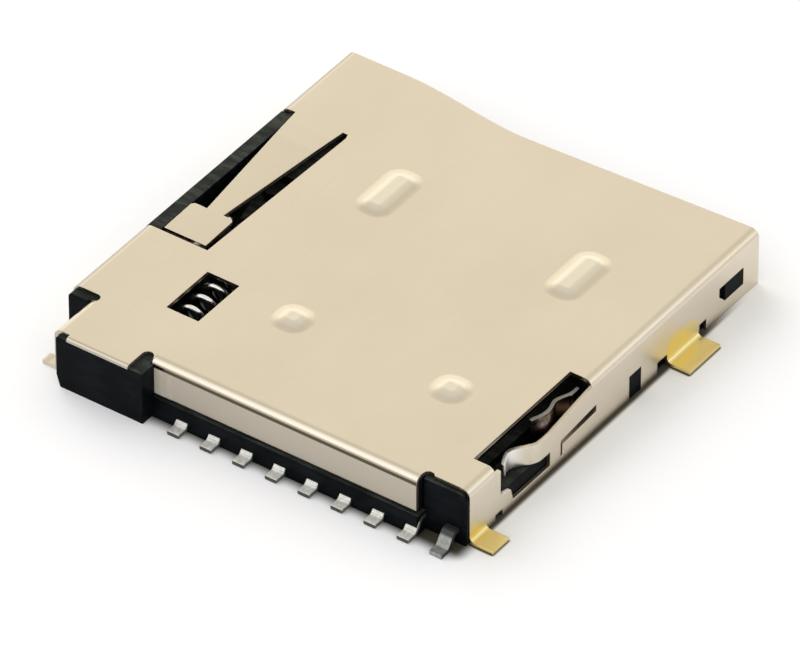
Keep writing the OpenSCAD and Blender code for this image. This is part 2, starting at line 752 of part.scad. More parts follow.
// Lugs on the housing's sides, seated in the shell's windows and notches
module side_lugs() {
    lug_out = right_x - lid_fit;
    across(
        [
            [latch_y0 + latch_h / 2 + lid_fit, latch_z0 + lid_fit],
            [latch_y0 + latch_l - lid_fit, latch_z0 + lid_fit],
            [latch_y0 + latch_l - lid_fit, latch_z0 + latch_h - lid_fit],
            [latch_y0 + latch_h / 2, latch_z0 + latch_h - lid_fit]
        ],
        inner_x - sheet, lug_out
    );
    block(
        [inner_x - sheet, lug_y0 + lid_fit, base_z],
        [lug_out, lug_y0 + lug_w - lid_fit, wall_lift + lug_h - lid_fit]
    );
}

// Room that the card sweeps, open at the mouth, with a lead-in at the floor's edge
module card_cavity() {
    block([lead_left - card_fit, wall_back, floor_z], [card_x + card_fit, mouth_y + past, shell_h]);
    block(
        [card_left - card_fit, arm_front - total_travel - run_fit, floor_z],
        [lead_left, mouth_y + past, shell_h]
    );
    across(
        [
            [mouth_y - mouth_dip - 3 * sheet, floor_z],
            [mouth_y, floor_z - 2 * sheet],
            [mouth_y, floor_z + sheet],
            [mouth_y - mouth_dip - 3 * sheet, floor_z + sheet]
        ],
        card_left - card_fit, card_x + card_fit
    );
}

// Bay of the spring and of the arm that presses it
module spring_bay() {
    block(
        [spring_x - spring_r - spring_fit, spring_seat, spring_bed],
        [lead_left, arm_front + 2 * arm_l, shell_h]
    );
}

// Channel of the slider, with a moulding window in its floor
module slider_channel() {
    block(
        [rail_x, channel_front, slider_z - lid_fit * 2],
        [slider_right + run_fit + hold_fit, channel_rear, shell_h]
    );
    block(
        [slider_mid - track_side, slider_front, -past],
        [slider_mid + track_side, shoulder_y, slider_z]
    );
}

// Groove for the follower wire, with the blind hole that its pivot pin turns in
module rod_seat() {
    wide = rod_r + rod_fit;
    hole = rod_bend + pivot_pin + lid_fit * 2;
    translate([pivot_x, pivot_y, rod_z - hole]) cylinder(r = rod_r + pivot_fit, h = hole, $fn = 48);
    slab(
        [
            [pivot_x - wide, pivot_y - wide], [pivot_x + wide, pivot_y - wide],
            [pivot_x + wide + track_side, channel_front + run_fit],
            [pivot_x - wide - track_side, channel_front + run_fit]
        ],
        rod_z - rod_r - lid_fit * 2, shell_h
    );
}

// Pocket of the detect contact, open to the side where the finger bends in
module detect_bay() {
    block([pocket_x0, pocket_y0, contact_z - sheet], [pocket_x1, gap_y1 + sheet, shell_h]);
    block([pocket_x0, gap_y0 + sheet, finger_low - 2 * lid_fit], [right_x, gap_y1, shell_h]);
}

// Windows under the contact beams, and the seats of their moulded-in stretches
module contact_cuts() {
    half = contact_w / 2 + contact_gap;
    for (i = [0:contact_n - 1]) {
        x = contact_x(i);
        block(
            [x - half, wall_back + contact_root - past, 0],
            [x + half, wall_back + contact_reach + contact_tip + past, shell_h]
        );
        contact_seat(x);
    }
    contact_seat(detect_x);
    block(
        [detect_x - detect_t / 2 - hold_fit, wall_back, contact_z - hold_fit],
        [detect_x + detect_t / 2 + hold_fit, pocket_y0 + past, strip_z + hold_fit]
    );
}

module contact_seat(x) {
    across(
        strip(concat(tail_line, [root_end]), contact_t + 2 * hold_fit),
        x - contact_w / 2 - hold_fit, x + contact_w / 2 + hold_fit
    );
}

module housing() {
    color([0.09, 0.09, 0.1]) {
        difference() {
            union() {
                housing_body();
                side_lugs();
                mirror([1, 0, 0]) side_lugs();
                block(
                    [-right_x + lid_fit, leaf_y0 + lid_fit * 2, floor_z + lid_fit * 2],
                    [-inner_x + past, leaf_y1 - lid_fit * 2, lid_z]
                );
            }
            card_cavity();
            spring_bay();
            slider_channel();
            rod_seat();
            detect_bay();
            contact_cuts();
        }
        spring_peg(spring_seat - hold_fit, 1);
    }
}

// Middle line of a tail: flat on the board, then up through the lip into the front wall
tail_line = [
    for (i = [0:16])
        let (t = i / 16, y0 = front_y - tail_out, y1 = wall_front)
            [y0 + (y1 - y0) * t, contact_t / 2 + contact_z * ease((t - 0.42) / 0.58)]
];
root_end = [wall_back + contact_root, contact_z + contact_t / 2];

// Middle line of a beam: level in the housing, up to the contact point, then down at its tip
beam_line = [
    for (i = [1:24])
        let (
            y = root_end[0] + (contact_reach + contact_tip - contact_root) * i / 24,
            top = floor_z + contact_rise - contact_t / 2
        )
            [
                y,
                root_end[1] + (top - root_end[1]) * ease((y - root_end[0]) / (contact_reach - contact_root))
                - 2 * contact_t * pow(max(0, y - wall_back - contact_reach) / contact_tip, 2)
            ]
];

module signal_contact(i) {
    color([0.78, 0.78, 0.75])
        across(
            strip(concat(tail_line, [root_end], beam_line), contact_t),
            contact_x(i) - contact_w / 2, contact_x(i) + contact_w / 2
        );
}

// Tail and moulded-in stretch, a strip on edge that runs back, a riser, and the leaf that
// the card's edge presses
module detect_contact() {
    leaf_path = [
        for (i = [0:16])
            let (t = i / 16)
                [
                    detect_x + (detect_leaf_x - detect_x) * ease(t * 2.6)
                        + detect_t * sin(360 * max(0, t - 0.4)),
                    detect_y1 - detect_riser / 2 - (detect_l - detect_riser / 2) * t
                ]
    ];
    color([0.72, 0.5, 0.36]) {
        across(
            strip(concat(tail_line, [[wall_back + past, root_end[1]]]), contact_t),
            detect_x - contact_w / 2, detect_x + contact_w / 2
        );
        across(
            [
                [wall_back, contact_z], [detect_y1, contact_z], [detect_y1, detect_top],
                [detect_y1 - detect_riser, detect_top], [detect_y1 - detect_riser, strip_z],
                [wall_back, strip_z]
            ],
            detect_x - detect_t / 2, detect_x + detect_t / 2
        );
        slab(strip(leaf_path, detect_t), detect_top - detect_h, detect_top);
    }
}

// One lane of the cam track, from a to b, sunk to a depth
module lane(a, b, depth) {
    d = (b - a) / norm(b - a) * track_w / 2;
    s = [-d[1], d[0]];
    slab([a - d + s, a - d - s, b + d - s, b + d + s], cam_top - depth, cam_top + past);
}

// The heart cam: out along the left lane, back into the lock, home along the right lane,
// each lane with its own depth
module cam_track() {
    start = [slider_mid, pin_y];
    left = [slider_mid - track_side, pin_y + total_travel];
    lock = [slider_mid, pin_y + lock_travel];
    right = [slider_mid + track_side, pin_y + (lock_travel + total_travel) / 2];
    home = [slider_mid + track_side, pin_y + lock_travel / 3];
    step = track_depth / 8;
    lane(start, left, track_depth);
    lane(left, lock, track_depth + step);
    lane(lock, right, track_depth + 2 * step);
    lane(right, home, track_depth + step);
    lane(home, start, track_depth - step);
}

module eject_slider() {
    arm_low = floor_z + lid_fit;
    color([0.13, 0.13, 0.14]) {
        difference() {
            union() {
                block([slider_left, slider_front, slider_z], [slider_right, slider_rear, cam_top]);
                block([slider_left, slider_step, slider_z], [slider_right, slider_rear, slider_top]);
                block(
                    [slider_left, slider_rear - arm_l, slider_z],
                    [slider_right, slider_rear, plate_z - run_fit]
                );
                // Arm with a slanted rear face for the card's shoulder, and the block that presses the spring
                slab(
                    [
                        [slider_right - run_fit, arm_front], [arm_right, arm_front], [arm_right, shoulder_y],
                        [arm_right - card_step / 3, shoulder_y], [slider_right - run_fit, shoulder_y + arm_l]
                    ],
                    arm_low, slider_top
                );
                block(
                    [spring_x - spring_r, arm_front, spring_bed + lid_fit],
                    [arm_right, arm_front + arm_l, slider_top]
                );
            }
            cam_track();
        }
        spring_peg(arm_front + hold_fit, -1);
    }
}

// Peg that centres an end of the spring
module spring_peg(y, way) {
    y0 = way > 0 ? y : y - peg_l;
    translate([spring_x, y0, spring_z]) rotate([-90, 0, 0]) cylinder(d = peg_d, h = peg_l, $fn = 32);
}

// Bent wire: a pivot pin, a straight length and a pin in the cam track
module cam_follower_rod() {
    run = rod_l - 2 * rod_bend;
    reach = rod_z - rod_bend - cam_top + pin_reach;
    color([0.75, 0.76, 0.78]) translate([pivot_x, pivot_y, rod_z]) {
        translate([0, rod_bend, 0]) rotate([-90, 0, 0]) cylinder(r = rod_r, h = run, $fn = 32);
        translate([0, rod_bend, -rod_bend]) rotate([90, 0, -90])
            rotate_extrude(angle = 90, $fn = 64) translate([rod_bend, 0]) circle(r = rod_r, $fn = 32);
        translate([0, 0, -rod_bend - pivot_pin]) cylinder(r = rod_r, h = pivot_pin, $fn = 32);
        translate([0, run + rod_bend, -rod_bend]) rotate([90, 0, 90])
            rotate_extrude(angle = 90, $fn = 64) translate([rod_bend, 0]) circle(r = rod_r, $fn = 32);
        translate([0, rod_l, -rod_bend - reach]) cylinder(r = rod_r, h = reach, $fn = 32);
    }
}

// The ejection spring: open coils with a closed coil at each end
module eject_spring() {
    turn_steps = 16;
    sides = 6;
    closed = 1.2;
    turns = spring_len / spring_pitch + closed;
    mean_r = spring_r - spring_wire / 2;
    rise = spring_len - spring_wire - hold_fit;
    lead = spring_wire * 1.05;
    body = rise - 2 * closed * lead;
    n = round(turns * turn_steps);
    rings = [
        for (i = [0:n])
            let (
                a = turns * i / n,
                y = a < closed ? a * lead
                    : a > turns - closed ? rise - (turns - a) * lead
                    : closed * lead + body * (a - closed) / (turns - 2 * closed)
            )
            for (k = [0:sides - 1])
                let (w = 360 * k / sides, r = mean_r + spring_wire / 2 * cos(w), turn = 360 * (a + spring_turn))
                    [
                        spring_x + r * cos(turn),
                        spring_seat + hold_fit + spring_wire / 2 * (1 + sin(w)) + y,
                        spring_z - r * sin(turn)
                    ]
    ];
    faces = concat(
        [[for (k = [sides - 1:-1:0]) k]],
        [
            for (i = [0:n - 1]) for (k = [0:sides - 1])
                let (a = i * sides + k, b = i * sides + (k + 1) % sides)
                    [a, b, b + sides, a + sides]
        ],
        [[for (k = [0:sides - 1]) n * sides + k]]
    );
    color([0.8, 0.8, 0.82]) polyhedron(rings, faces);
}

housing();
shell();
signal_contact(0);  // signal_contact_1
signal_contact(1);  // signal_contact_2
signal_contact(2);  // signal_contact_3
signal_contact(3);  // signal_contact_4
signal_contact(4);  // signal_contact_5
signal_contact(5);  // signal_contact_6
signal_contact(6);  // signal_contact_7
signal_contact(7);  // signal_contact_8
detect_contact();
eject_slider();
cam_follower_rod();
eject_spring();
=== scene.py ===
# Memory card connector on a white table, lit as for a product photo
import math
import bmesh
import bpy
import numpy as np
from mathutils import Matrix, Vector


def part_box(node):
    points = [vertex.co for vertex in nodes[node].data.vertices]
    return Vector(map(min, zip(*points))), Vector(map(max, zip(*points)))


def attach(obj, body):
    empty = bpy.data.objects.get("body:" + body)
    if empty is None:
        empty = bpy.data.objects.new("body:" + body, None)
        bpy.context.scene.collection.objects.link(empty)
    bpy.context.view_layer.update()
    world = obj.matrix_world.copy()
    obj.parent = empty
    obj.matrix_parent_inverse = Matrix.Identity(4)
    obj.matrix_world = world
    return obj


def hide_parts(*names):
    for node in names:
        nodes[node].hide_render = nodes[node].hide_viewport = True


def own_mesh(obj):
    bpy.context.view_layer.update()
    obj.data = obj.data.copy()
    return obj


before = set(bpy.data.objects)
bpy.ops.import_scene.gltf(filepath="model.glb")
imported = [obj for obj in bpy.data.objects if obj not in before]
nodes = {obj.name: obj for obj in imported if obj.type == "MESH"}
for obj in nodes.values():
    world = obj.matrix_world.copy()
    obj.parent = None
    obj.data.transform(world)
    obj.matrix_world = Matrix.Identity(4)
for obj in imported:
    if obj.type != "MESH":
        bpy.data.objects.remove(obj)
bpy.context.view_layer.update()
mm = 0.001
print("frame loaded:", len(nodes), "nodes")


class Field:
    # A shader socket that can be used in ordinary sums: every operator adds its own Math node
    def __init__(self, tree, socket=None):
        self.tree, self.socket = tree, socket

    # Any node: its type, its settings, and the values or links of its sockets
    def make(self, kind, settings=None, sockets=None, out=0):
        node = self.tree.nodes.new(kind)
        for key, value in (settings or {}).items():
            setattr(node, key, value)
        for key, value in (sockets or {}).items():
            if isinstance(value, Field):
                self.tree.links.new(value.socket, node.inputs[key])
            else:
                node.inputs[key].default_value = value
        return Field(self.tree, node.outputs[out])

    def calculate(self, kind, *values):
        return self.make("ShaderNodeMath", {"operation": kind}, dict(enumerate(values)))

    def vector(self, kind, *values, out=0):
        return self.make("ShaderNodeVectorMath", {"operation": kind}, dict(enumerate(values)), out)

    def __add__(self, other):
        return self.calculate("ADD", self, other)

    def __radd__(self, other):
        return self.calculate("ADD", other, self)

    def __sub__(self, other):
        return self.calculate("SUBTRACT", self, other)

    def __rsub__(self, other):
        return self.calculate("SUBTRACT", other, self)

    def __mul__(self, other):
        return self.calculate("MULTIPLY", self, other)

    def __rmul__(self, other):
        return self.calculate("MULTIPLY", other, self)

    def __truediv__(self, other):
        return self.calculate("DIVIDE", self, other)

    def __pow__(self, other):
        return self.calculate("POWER", self, other)

    def __neg__(self):
        return self.calculate("MULTIPLY", self, -1.0)

    def __abs__(self):
        return self.calculate("ABSOLUTE", self)

    def least(self, other):
        return self.calculate("MINIMUM", self, other)

    def most(self, other):
        return self.calculate("MAXIMUM", self, other)

    # 0 below the first value, 1 above the second, smooth between them
    def step(self, low, high):
        return self.make("ShaderNodeMapRange", {"interpolation_type": "SMOOTHSTEP"},
                         {"Value": self, "From Min": low, "From Max": high})

    # 1 between two smooth edges, each given by where it starts and where it ends
    def between(self, rise, fall):
        return self.step(*rise) * (1 - self.step(*fall))

    # The first colour where the field is 0, the second where it is 1. A Mix node's colours are its sockets
    # 6 and 7, and its blended colour comes out of 2
    def mix(self, first, second):
        return self.make("ShaderNodeMix", {"data_type": "RGBA"}, {0: self, 6: first, 7: second}, out=2)

    # The three numbers of a vector
    def parts(self):
        split = self.make("ShaderNodeSeparateXYZ", {}, {0: self}).socket.node
        return [Field(self.tree, socket) for socket in split.outputs]

    # Noise between 0 and 1, with one patch of it as long as size, along each axis
    def noise(self, size, detail=2.0, roughness=0.5):
        stretched = self.vector("DIVIDE", self, size)
        return self.make("ShaderNodeTexNoise", {"normalize": True},
                         {"Vector": stretched, "Scale": 1.0, "Detail": detail, "Roughness": roughness})

    # Bump from a height in metres, on edges softened over a radius
    def relief(self, edge, height, samples=6):
        soft = self.make("ShaderNodeBevel", {"samples": samples}, {"Radius": edge})
        return self.make("ShaderNodeBump", {}, {"Height": height, "Distance": 1.0, "Normal": soft})


# A new material, the field that adds nodes to it, and its Principled node with some sockets set
def startMaterial(name, **constants):
    material = bpy.data.materials.new(name)
    material.use_nodes = True
    shader = material.node_tree.nodes["Principled BSDF"]
    for key, value in constants.items():
        shader.inputs[key.replace("_", " ")].default_value = value
    return material, Field(material.node_tree), shader


# Fields linked to a shader's sockets, whose names have _ for a space
def connect(shader, **links):
    for key, value in links.items():
        value.tree.links.new(value.socket, shader.inputs[key.replace("_", " ")])


# A colour with its alpha
def colour(rgb):
    return (*rgb, 1)


black, white = colour((0, 0, 0)), colour((1, 1, 1))


# A section carried along a path, worked out as whole arrays. Each point is its ring's centre, plus the
# across vector times the section's first number, plus the upward vector times its second, both scaled
# by that ring's growth. The map called run holds the length along the path and the share of the way round
def carry(name, section, centres, across, upward, growth, sharpAngle=40):
    rings, sides = len(centres), len(section)
    spread = section[None] * growth[:, None]
    points = centres[:, None] + across[:, None] * spread[..., :1] + upward[:, None] * spread[..., 1:]
    ring, side = np.meshgrid(np.arange(rings - 1), np.arange(sides), indexing="ij")
    after = (side + 1) % sides
    here, ahead = ring * sides, (ring + 1) * sides
    quads = np.stack([here + side, here + after, ahead + after, ahead + side], -1)
    caps = [list(range(sides))[::-1], list(range((rings - 1) * sides, rings * sides))]
    mesh = bpy.data.meshes.new(name)
    mesh.from_pydata(points.reshape(-1, 3).tolist(), [], quads.reshape(-1, 4).tolist() + caps)
    travelled = np.concatenate([[0], np.cumsum(np.linalg.norm(np.diff(centres, axis=0), axis=1))])
    u = np.stack([travelled[ring], travelled[ring], travelled[ring + 1], travelled[ring + 1]], -1)
    v = np.stack([side, side + 1, side + 1, side], -1) / sides
    capSpots = np.zeros((2 * sides, 2))
    spots = np.concatenate([np.stack([u, v], -1).reshape(-1, 2), capSpots])
    mesh.uv_layers.new(name="run").data.foreach_set("uv", spots.astype(np.float32).ravel())
    tidy = bmesh.new()
    tidy.from_mesh(mesh)
    bmesh.ops.recalc_face_normals(tidy, faces=tidy.faces)
    tidy.to_mesh(mesh)
    tidy.free()
    mesh.shade_smooth()
    mesh.set_sharp_from_angle(angle=math.radians(sharpAngle))
    return mesh


# A circle of points: the cosine and sine of evenly spaced turns, times the radius
def roundSection(radius, sides):
    turn = np.arange(sides) / sides * 2 * math.pi
    return np.stack([np.cos(turn), np.sin(turn)], -1) * radius


# A rectangle whose corners are quarter circles: each corner's centre, plus its arc
def barSection(width, height, corner, steps=4):
    turn = np.linspace(0, math.pi / 2, steps)
    turns = np.concatenate([turn + quarter * math.pi / 2 for quarter in range(4)])
    signs = np.repeat([[1, 1], [-1, 1], [-1, -1], [1, -1]], steps, axis=0)
    inner = np.array([width / 2 - corner, height / 2 - corner])
    return signs * inner + corner * np.stack([np.cos(turns), np.sin(turns)], -1)


# 0 to 1 with level ends: three times the share's square, less twice its cube
def ease(share):
    share = np.clip(share, 0, 1)
    return share * share * (3 - 2 * share)


# Each row of an array made 1 long
def unit(vectors):
    return vectors / np.linalg.norm(vectors, axis=-1, keepdims=True)


# A path with a short stretch added at each end, over which the section shrinks along a quarter circle to
# the part of it that is kept, so that the ends are rounded. It returns the longer path and each ring's growth
def roundEnds(centres, depth, keep, steps=4):
    first, last = unit(centres[0] - centres[1]), unit(centres[-1] - centres[-2])
    turn = np.linspace(0, math.pi / 2, steps + 1)[1:]
    head = centres[0] + first * depth * np.sin(turn)[::-1, None]
    tail = centres[-1] + last * depth * np.sin(turn)[:, None]
    shrink = 1 - (1 - np.array(keep)) * (1 - np.cos(turn))[:, None]
    growth = np.concatenate([shrink[::-1], np.ones((len(centres), 2)), shrink])
    return np.concatenate([head, centres, tail]), growth


# The across and upward vectors of a path that lies in a plane with the given normal
def flatFrame(centres, normal):
    ahead = unit(np.gradient(centres, axis=0))
    across = np.broadcast_to(np.array(normal, float), ahead.shape)
    return across, np.cross(ahead, across)


# A new piece that stands for a node and rides on that node's body
def place(name, mesh, material, node, body):
    mesh.materials.append(material)
    piece = bpy.data.objects.new(name, mesh)
    bpy.context.scene.collection.objects.link(piece)
    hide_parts(node)
    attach(piece, body)
    return piece


# A node that keeps its own shape gets a new material
def dress(node, material):
    mesh = nodes[node].data
    mesh.materials.clear()
    mesh.materials.append(material)


# Shell: rolled sheet, nickel plated, with a gold flash on the feet
shellLook = {
    # A pair of numbers is where a smooth edge starts and where it ends
    "nickel": (0.745, 0.675, 0.560), "nickelWarm": (0.705, 0.635, 0.520), "cut": (0.62, 0.56, 0.46),
    # The last colour on the next line is painted shade for sheared faces that look into a hole
    "gold": (0.78, 0.56, 0.17), "goldPale": (0.84, 0.75, 0.38), "hole": (0.12, 0.105, 0.08),
    "tipHighlight": (0.97, 0.96, 0.93), "crownHighlight": (0.82, 0.775, 0.665), "creaseShade": (0.10, 0.085, 0.05),
    "cutShare": 0.8, "crownShare": 0.8,
    "roughness": 0.24, "roughnessSpan": 0.08, "cutRoughness": 0.34, "wallRoughness": 0.12,
    # Painted shade on the flange and the folds, and painted light at the flange's end beside the nose
    "flangeShade": 0.29, "leftShade": 0.36, "noseShade": 0.25, "cornerLightening": 0.8,
    # Patch sizes of the noises and how much each one weighs in the tone of the nickel
    "clouds": (2.6 * mm, 3.4 * mm, 2.6 * mm), "cloudShare": 0.55,
    "grain": (0.02 * mm, 1.4 * mm, 0.3 * mm), "grainShare": 0.3, "grainHeight": 0.0002 * mm,
    "specks": (0.09 * mm, 0.09 * mm, 0.09 * mm), "speckShare": 0.15, "speckHeight": 0.0004 * mm,
    "waves": (4.5 * mm, 6.0 * mm, 3.0 * mm), "waveHeight": 0.002 * mm,
    "toneSpan": (0.3, 0.7), "softEdge": 0.035 * mm,
    # The part of a face's normal along an axis, by which it counts as square to it, as looking into a hole,
    # or as slanting
    "square": (0.75, 0.95), "intoHole": (0.6, 0.8), "slant": (0.3, 0.5),
    # Sheared edges of the plate, by depth below the bosses' tops, and of the two walls
    "plateDepth": (0.26 * mm, 0.12 * mm), "plateSide": (6.70 * mm, 6.74 * mm),
    "plateFront": (-6.55 * mm, -6.50 * mm), "wallTop": (1.56 * mm, 1.60 * mm),
    "wallInside": (6.84 * mm, 6.87 * mm), "wallOutside": (7.00 * mm, 7.01 * mm),
    # Crease of the front fold, where painted shade lies: how far its faces tilt up and look forward, and its
    # left and lower ends
    "creaseTilt": ((0.02, 0.1), (0.36, 0.5)), "creaseFront": (0.5, 0.7), "creaseLeft": (-3.4 * mm, -3.3 * mm),
    "creaseFoot": (1.50 * mm, 1.55 * mm),
    # The flange stands behind its line, and the nose tab before its own
    "flangeLine": (-7.00 * mm, -6.95 * mm), "noseLine": (-7.0 * mm, -6.9 * mm), "noseTilt": (0.15, 0.4),
    "cornerEnd": (-3.0 * mm, -2.5 * mm), "cornerTop": (1.60 * mm, 1.65 * mm),
    "leftTilt": ((0.1, 0.4), (0.85, 0.97)), "leftSide": (6.6 * mm, 6.7 * mm),
    # Height above which the bosses' crowns get the painted highlight
    "crownHeight": (1.900 * mm, 1.955 * mm),
    # Tip of the clamp finger, where the painted highlight lies
    "tipSide": ((6.20 * mm, 6.25 * mm), (6.85 * mm, 6.90 * mm)), "tipTop": (1.45 * mm, 1.50 * mm),
    "tipRun": ((-4.6 * mm, -4.5 * mm), (-4.0 * mm, -3.5 * mm)),
    # Gold flash: middle along the wall, half length and height of each patch
    "rearFlash": (3.69 * mm, 0.80 * mm, 0.86 * mm), "frontFlash": (-6.13 * mm, 0.47 * mm, 0.44 * mm),
    "flashSide": (6.60 * mm, 6.65 * mm), "flashEdge": (0.75, 1.05), "flashPower": 4, "flashWaver": 0.7,
    "ripples": (0.2 * mm, 0.2 * mm, 0.2 * mm), "flashTone": 0.6, "flashRise": 0.2
}


# Nickel plate with a clouded, finely grained tone, over which masks by place and facing are laid in turn
def nickelSheet():
    look = shellLook
    material, field, shader = startMaterial("nickelSheet")
    spot = field.make("ShaderNodeTexCoord", out="Object")
    x, y, z = spot.parts()
    faceX, faceY, faceZ = field.make("ShaderNodeNewGeometry", out="True Normal").parts()
    side, left, front = abs(x), -faceX, -faceY
    facesFront = front.step(*look["square"])

    # Sheared edges: upright faces inside the plate, and the end faces of the two walls
    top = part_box("shell")[1].z
    inPlate = z.step(*[top - depth for depth in look["plateDepth"]]) * (1 - abs(faceZ).step(*look["slant"]))
    inPlate = inPlate * (1 - side.step(*look["plateSide"])) * y.step(*look["plateFront"])
    inWall = side.between(look["wallInside"], look["wallOutside"]) * (1 - abs(faceX).step(*look["slant"]))
    inWall = inWall * (1 - z.step(*look["wallTop"]))
    cut = inPlate.most(inWall)

    clouds = spot.noise(look["clouds"], detail=3.0)
    grain = spot.noise(look["grain"], detail=2.0, roughness=0.6)
    specks = spot.noise(look["specks"], detail=2.0, roughness=0.6)
    tone = clouds * look["cloudShare"] + grain * look["grainShare"] + specks * look["speckShare"]
    tone = tone.step(*look["toneSpan"])
    metal = tone.mix(colour(look["nickelWarm"]), colour(look["nickel"]))
    metal = (cut * look["cutShare"]).mix(metal, colour(look["cut"]))
    # Painted highlight: the crowns of the bosses are paler than the plate
    metal = (z.step(*look["crownHeight"]) * look["crownShare"]).mix(metal, colour(look["crownHighlight"]))
    # Painted shade on sheared faces that look into a hole
    shadedInHole = faceX.step(*look["intoHole"]).most(front.step(*look["intoHole"])) * inPlate
    metal = shadedInHole.mix(metal, colour(look["hole"]))

    # Painted shade darkens the flange, the nose's fold and the left fold. The flange's end beside the nose is
    # left out of it and has less metal, which paints it lighter where it would mirror the dark nose
    corner = facesFront * y.step(*look["flangeLine"]) * (1 - x.step(*look["cornerEnd"]))
    corner = corner * (1 - z.step(*look["cornerTop"]))
    nose = front.step(*look["noseTilt"]) * (1 - y.step(*look["noseLine"]))
    leftFold = left.between(*look["leftTilt"]) * side.step(*look["leftSide"])
    dimmer = facesFront * (1 - corner) * look["flangeShade"]
    dimmer = dimmer.most(nose * look["noseShade"]).most(leftFold * look["leftShade"])
    metal = dimmer.mix(metal, black)
    # Painted shade in the crease above the flange
    crease = faceZ.between(*look["creaseTilt"]) * front.step(*look["creaseFront"])
    crease = crease * x.step(*look["creaseLeft"]) * y.step(*look["flangeLine"]) * z.step(*look["creaseFoot"])
    metal = crease.mix(metal, colour(look["creaseShade"]))
    # Painted highlight on the finger's tip
    tip = x.between(*look["tipSide"]) * y.between(*look["tipRun"]) * (1 - z.step(*look["tipTop"]))
    metal = tip.mix(metal, colour(look["tipHighlight"]))

    # Gold flash on the feet: a patch between a box and an oval, with a wavering edge
    power = look["flashPower"]
    waver = (spot.noise(look["ripples"]) - 0.5) * look["flashWaver"]

    def flash(middle, half, top):
        reach = (abs(y - middle) / half) ** power + (z / top) ** power
        return 1 - (reach + waver).step(*look["flashEdge"])

    gold = flash(*look["rearFlash"]).most(flash(*look["frontFlash"])) * side.step(*look["flashSide"])
    rise = z / look["rearFlash"][2] * look["flashRise"]
    flashed = (tone * look["flashTone"] + rise).mix(colour(look["goldPale"]), colour(look["gold"]))
    metal = gold.mix(metal, flashed)

    rough = look["roughness"] + (clouds + specks - 1) * (look["roughnessSpan"] / 2)
    rough = rough + cut * (look["cutRoughness"] - look["roughness"])
    rough = rough + abs(faceX).step(*look["square"]) * look["wallRoughness"]
    height = spot.noise(look["waves"], detail=1.0) * look["waveHeight"]
    height = height + grain * look["grainHeight"] + specks * look["speckHeight"]
    connect(shader, Base_Color=metal, Roughness=rough, Metallic=1 - corner * look["cornerLightening"],
            Normal=field.relief(look["softEdge"], height))
    return material


dress("shell", nickelSheet())
print("shell dressed")

# Housing and slider: black moulded plastic
plasticLook = {
    "housing": (0.0026, 0.0038, 0.0050), "housingWorn": (0.0066, 0.0082, 0.0102),
    "slider": (0.005, 0.0055, 0.0065), "sliderWorn": (0.009, 0.0095, 0.011), "dustAndSheen": (0.050, 0.054, 0.046),
    "roughness": 0.40, "roughnessSpan": 0.22, "specular": 0.03, "softEdge": 0.045 * mm,
    "skin": (0.05 * mm, 0.05 * mm, 0.05 * mm), "skinShare": 0.35, "skinHeight": 0.0015 * mm,
    "flow": (0.9 * mm, 0.25 * mm, 0.4 * mm), "toneSpan": (0.42, 0.66), "flowShare": 0.6,
    "dimples": (0.3 * mm, 0.3 * mm, 0.3 * mm), "dimpleHeight": 0.004 * mm,
    # Dust and a painted sheen lie on faces that look up, at least this much of them
    "upward": (0.75, 0.97), "dustAndSheenLeast": 0.35
}


# Black plastic with a fine skin, worn in patches, with dust and a painted sheen where it looks up
def mouldedPlastic(name, plain, highlightFrom):
    look = plasticLook
    material, field, shader = startMaterial(name, Specular_IOR_Level=look["specular"])
    spot = field.make("ShaderNodeTexCoord", out="Object")
    skin = spot.noise(look["skin"], detail=3.0, roughness=0.6)
    flow = spot.noise(look["flow"], detail=3.0, roughness=0.55)
    dimples = spot.noise(look["dimples"], detail=1.0)
    tone = (skin * look["skinShare"] + flow * (1 - look["skinShare"])).step(*look["toneSpan"])
    faceUp = field.make("ShaderNodeNewGeometry", out="True Normal").parts()[2]
    # Upward faces are lighter: dust, and a painted sheen
    dustAndSheenMask = faceUp.step(*look["upward"]) * (look["dustAndSheenLeast"] + tone * (1 - look["dustAndSheenLeast"]))
    surface = dustAndSheenMask.mix(tone.mix(colour(plain), colour(highlightFrom)), colour(look["dustAndSheen"]))
    blotch = flow * look["flowShare"] + skin * (1 - look["flowShare"])
    rough = look["roughness"] + (blotch - 0.5) * look["roughnessSpan"]
    height = skin * look["skinHeight"] + dimples * look["dimpleHeight"]
    connect(shader, Base_Color=surface, Roughness=rough, Normal=field.relief(look["softEdge"], height))
    return material


dress("housing", mouldedPlastic("housingPlastic", plasticLook["housing"], plasticLook["housingWorn"]))
dress("eject_slider", mouldedPlastic("sliderPlastic", plasticLook["slider"], plasticLook["sliderWorn"]))
print("plastic pieces dressed")

# Signal contacts: stamped strips with tinned tails and gold at the contact points
contactShape = {
    # Lengths in mm, places along the strip from its tail's end
    "thickness": 0.14, "corner": 0.03, "rootHeight": 0.47, "tailEnd": 0.69, "rootEnd": 2.40, "peak": 4.95,
    "tipDrop": 0.28, "endDepth": 0.025,
    # Shares: the level part of the tail, the tip's part of the width, and what the ends keep of the section
    "tailLevel": 0.42, "tipWidth": 0.72, "endKeep": (0.88, 0.7),
    "count": 8, "rings": 90
}


